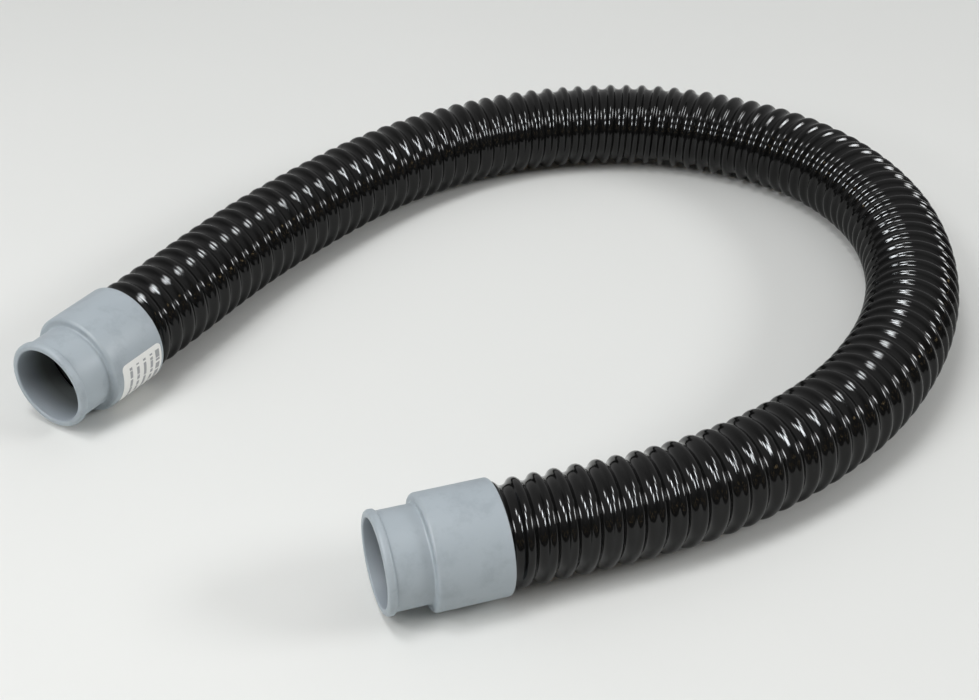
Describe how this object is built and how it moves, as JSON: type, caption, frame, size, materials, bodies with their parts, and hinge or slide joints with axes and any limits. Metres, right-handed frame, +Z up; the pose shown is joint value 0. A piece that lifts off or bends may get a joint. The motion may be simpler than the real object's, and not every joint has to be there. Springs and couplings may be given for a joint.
{
  "type": "vacuum hose",
  "caption": "Flexible ribbed vacuum hose with a stepped moulded cuff on each end, for joining a suction pipe to a pool or spa cleaner.",
  "frame": {"origin": "on the floor, midway between the two cuffs' outer limits", "axes": "+Z up; the hose lies flat in a horseshoe that opens towards -X -Y, with the rear cuff at -X and the front cuff at -Y"},
  "size_m": [0.4825, 0.4513, 0.052],
  "materials": {
    "cuff_vinyl": "satin",
    "cover_vinyl": "gloss",
    "liner_vinyl": "satin",
    "spring_wire": "satin",
    "cement": "gloss",
    "label": "satin"
  },
  "bodies": {
    "rear_end": {"rear_cuff": "cuff_vinyl", "rear_cement": "cement", "cuff_label": "label", "cover_rear_end": "cover_vinyl", "liner_rear_end": "liner_vinyl", "wire_rear_end": "spring_wire"},
    "rear_half": {"cover_rear_side": "cover_vinyl", "liner_rear_side": "liner_vinyl", "wire_rear_side": "spring_wire", "cover_rear_back": "cover_vinyl", "liner_rear_back": "liner_vinyl", "wire_rear_back": "spring_wire"},
    "front_half": {"cover_front_back": "cover_vinyl", "liner_front_back": "liner_vinyl", "wire_front_back": "spring_wire", "cover_front_side": "cover_vinyl", "liner_front_side": "liner_vinyl", "wire_front_side": "spring_wire"},
    "front_end": {"front_cuff": "cuff_vinyl", "front_cement": "cement", "cover_front_end": "cover_vinyl", "liner_front_end": "liner_vinyl", "wire_front_end": "spring_wire"}
  },
  "joints": [
    {"name": "rear_bend", "type": "hinge", "parent": "rear_half", "child": "rear_end", "pos_m": [0.01083, 0.22417, 0.024], "axis": [0, 0, 1], "range_deg": [-30, 20], "deforming": ["cover_rear_end", "liner_rear_end", "wire_rear_end", "cover_rear_side", "liner_rear_side", "wire_rear_side"]},
    {"name": "middle_bend", "type": "hinge", "parent": "rear_half", "child": "front_half", "pos_m": [0.28917, 0.28667, 0.024], "axis": [0, 0, -1], "range_deg": [-55, 5], "deforming": ["cover_rear_back", "liner_rear_back", "wire_rear_back", "cover_front_back", "liner_front_back", "wire_front_back"]},
    {"name": "front_bend", "type": "hinge", "parent": "front_half", "child": "front_end", "pos_m": [0.25667, 0.00583, 0.024], "axis": [0, 0, -1], "range_deg": [-40, 10], "deforming": ["cover_front_side", "liner_front_side", "wire_front_side", "cover_front_end", "liner_front_end", "wire_front_end"]}
  ]
}
